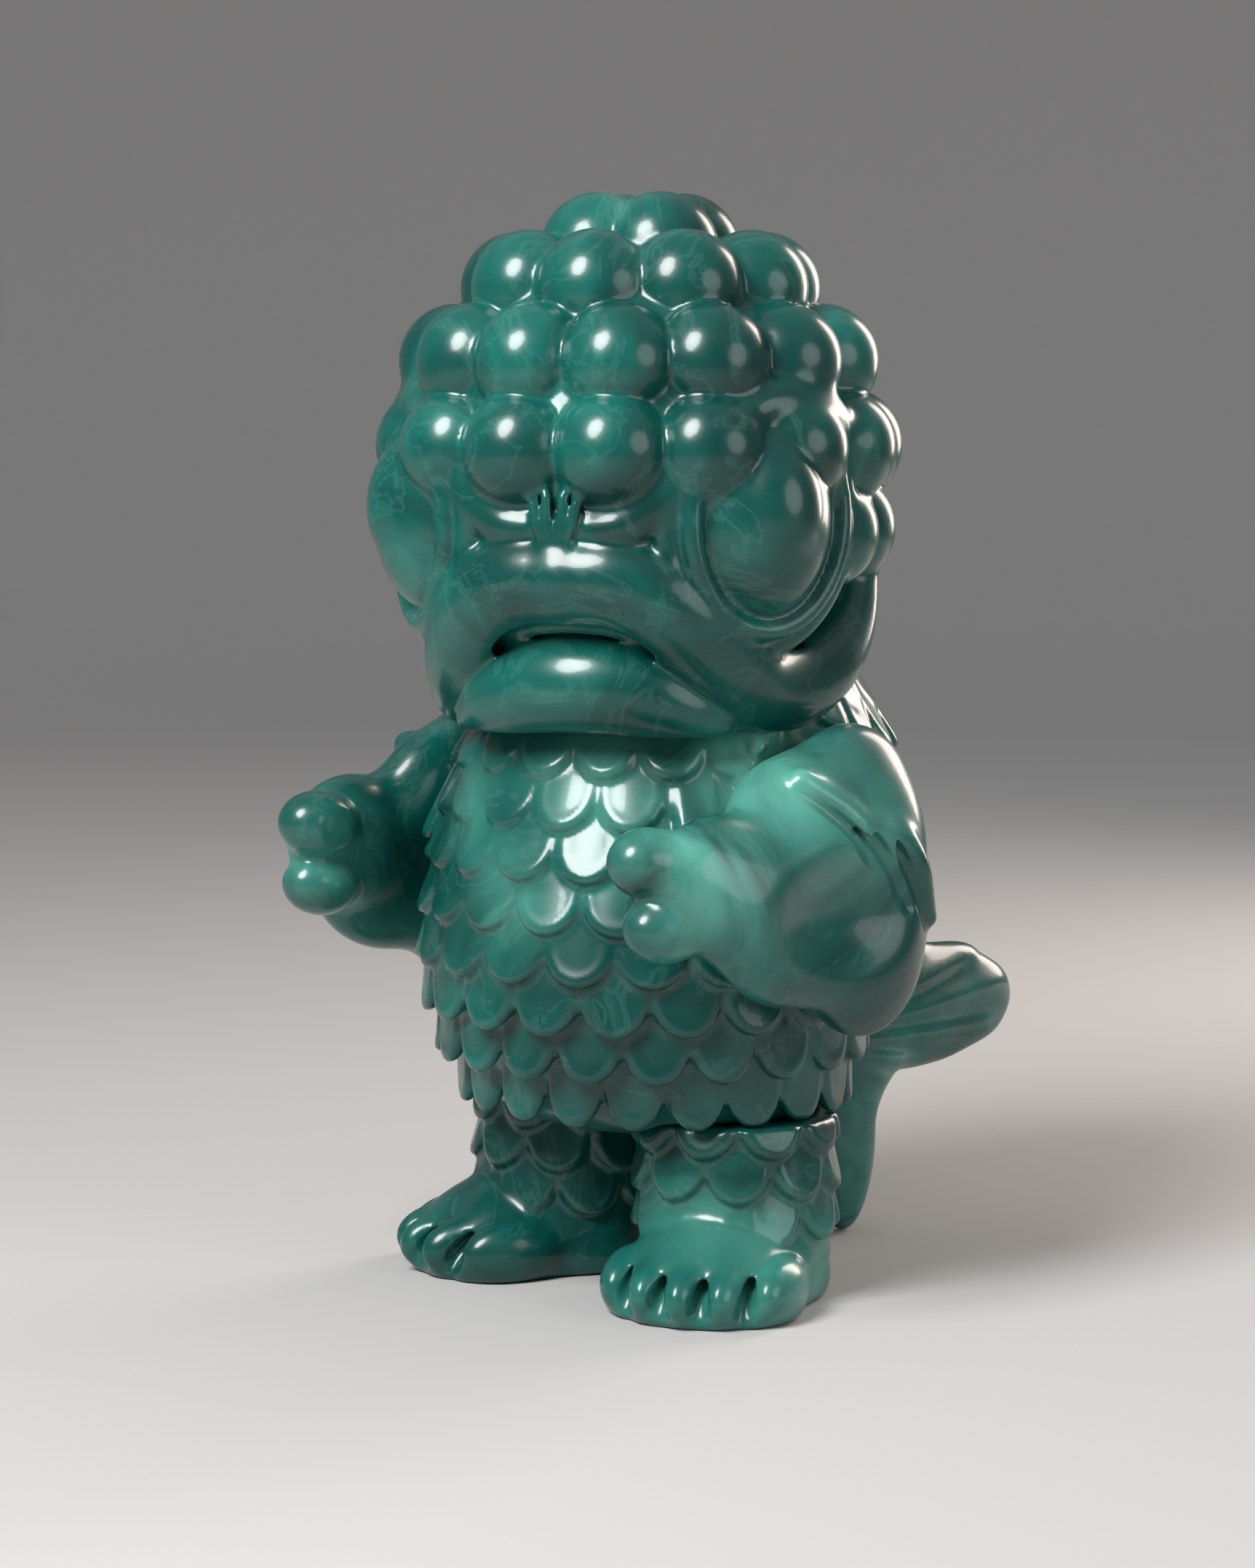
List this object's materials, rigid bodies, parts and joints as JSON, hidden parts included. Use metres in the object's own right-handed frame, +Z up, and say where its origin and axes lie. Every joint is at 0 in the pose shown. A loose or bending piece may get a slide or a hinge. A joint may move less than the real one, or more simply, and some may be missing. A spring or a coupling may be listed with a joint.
{
  "type": "vinyl fish creature figure",
  "caption": "Standing soft-vinyl fish creature figure with turning head, swinging flipper arms, turning legs and a forked tail that helps it stand.",
  "frame": {"origin": "on the floor, under the middle of the figure's bounding box", "axes": "+Z up, the figure faces -Y, its left side is +X"},
  "size_m": [0.1212, 0.1582, 0.1976],
  "materials": {
    "marbled_vinyl": "glossy marbled soft vinyl"
  },
  "bodies": {
    "torso": {"torso_shell": "marbled_vinyl"},
    "head": {"head_shell": "marbled_vinyl"},
    "left_arm": {"left_arm_shell": "marbled_vinyl"},
    "right_arm": {"right_arm_shell": "marbled_vinyl"},
    "left_leg": {"left_leg_shell": "marbled_vinyl"},
    "right_leg": {"right_leg_shell": "marbled_vinyl"},
    "tail": {"tail_shell": "marbled_vinyl"}
  },
  "joints": [
    {"name": "head_turn", "type": "hinge", "parent": "torso", "child": "head", "pos_m": [0, -0.026, 0.104], "axis": [0, 0, 1], "range_deg": [-45, 12]},
    {"name": "left_shoulder_turn", "type": "hinge", "parent": "torso", "child": "left_arm", "pos_m": [0.036, -0.025, 0.091], "axis": [1, 0, 0], "range_deg": [-25, 30]},
    {"name": "right_shoulder_turn", "type": "hinge", "parent": "torso", "child": "right_arm", "pos_m": [-0.036, -0.025, 0.091], "axis": [1, 0, 0], "range_deg": [-25, 30]},
    {"name": "left_hip_turn", "type": "hinge", "parent": "torso", "child": "left_leg", "pos_m": [0.021, -0.026, 0.034], "axis": [0, 0, 1], "range_deg": [-20, 25]},
    {"name": "right_hip_turn", "type": "hinge", "parent": "torso", "child": "right_leg", "pos_m": [-0.021, -0.026, 0.034], "axis": [0, 0, 1], "range_deg": [-25, 20]},
    {"name": "tail_turn", "type": "hinge", "parent": "torso", "child": "tail", "pos_m": [0, 0.011, 0.044], "axis": [0, 1, 0], "range_deg": [-12, 12]}
  ]
}
